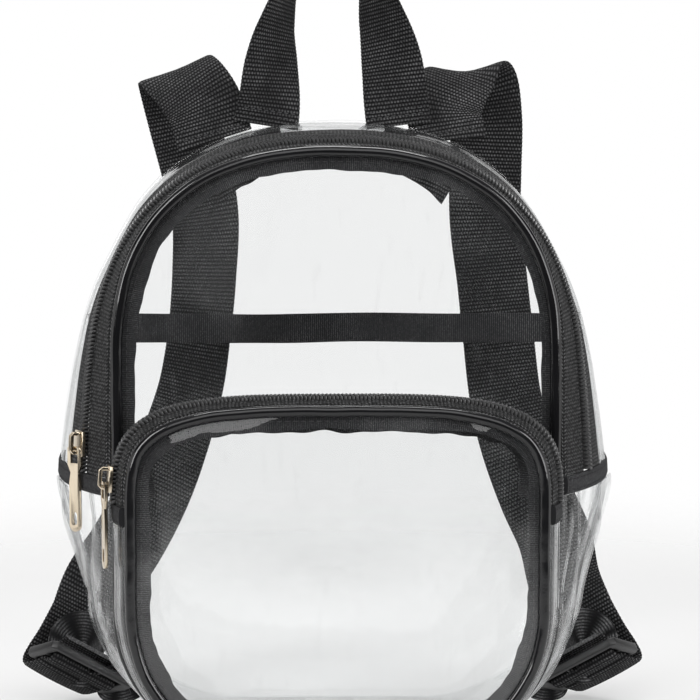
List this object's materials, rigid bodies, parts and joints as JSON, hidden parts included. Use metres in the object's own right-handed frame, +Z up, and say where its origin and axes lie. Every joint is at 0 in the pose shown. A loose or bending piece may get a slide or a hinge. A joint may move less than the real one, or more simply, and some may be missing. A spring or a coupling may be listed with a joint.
{
  "type": "clear stadium backpack",
  "caption": "Small clear vinyl backpack with an arched zipped compartment, a zipped front pocket, black piping and webbing shoulder straps",
  "frame": {"origin": "centre of the bounding box's bottom, on the floor under the bag", "axes": "+Z up through the haul handle, -Y towards the front pocket, +X to the right as seen from the pocket's side"},
  "size_m": [0.2486, 0.138, 0.2988],
  "materials": {
    "clear_vinyl": "clear flexible PVC film, glossy",
    "black_piping": "glossy black vinyl piping",
    "grosgrain_binding": "ribbed binding tape, stitched",
    "zip_tape": "woven zip tape, matt",
    "coil_teeth": "black nylon coil, satin",
    "gold_metal": "pale gold plated die-cast metal, polished",
    "black_webbing": "ribbed webbing, matt",
    "black_plastic": "moulded acetal, satin"
  },
  "bodies": {
    "bag": {"main_front_panel": "clear_vinyl", "main_piping": "black_piping", "main_seam_binding": "grosgrain_binding", "back_panel": "clear_vinyl", "pocket_front_panel": "clear_vinyl", "pocket_piping": "black_piping", "pocket_seam_binding": "grosgrain_binding", "upper_gusset": "clear_vinyl", "lower_gusset": "clear_vinyl", "pocket_gusset": "clear_vinyl", "main_zip_tape_front": "zip_tape", "main_zip_tape_rear": "zip_tape", "main_zip_teeth": "coil_teeth", "main_slider": "gold_metal", "main_zip_end_left": "grosgrain_binding", "main_zip_end_right": "grosgrain_binding", "pocket_zip_tape_front": "zip_tape", "pocket_zip_tape_rear": "zip_tape", "pocket_zip_teeth": "coil_teeth", "pocket_slider": "gold_metal", "pocket_zip_end_left": "grosgrain_binding", "pocket_zip_end_right": "grosgrain_binding", "pocket_rear_binding": "grosgrain_binding", "back_band": "black_webbing", "webbing_anchor_left": "black_webbing", "webbing_anchor_right": "black_webbing", "handle": "black_webbing", "ladder_lock_left": "black_plastic", "shoulder_strap_left": "black_webbing", "lower_strap_left": "black_webbing", "ladder_lock_right": "black_plastic", "shoulder_strap_right": "black_webbing", "lower_strap_right": "black_webbing"},
    "main_pull": {"main_pull": "gold_metal"},
    "pocket_pull": {"pocket_pull": "gold_metal"}
  },
  "joints": [
    {"name": "main_pull_swing", "type": "hinge", "parent": "bag", "child": "main_pull", "pos_m": [-0.0983, -0.02606, 0.11129], "axis": [-0.45, 0.893, 0], "range_deg": [0, 130]},
    {"name": "pocket_pull_swing", "type": "hinge", "parent": "bag", "child": "pocket_pull", "pos_m": [-0.08548, -0.05528, 0.10269], "axis": [-0.1979, 0.9802, 0], "range_deg": [0, 130]}
  ]
}
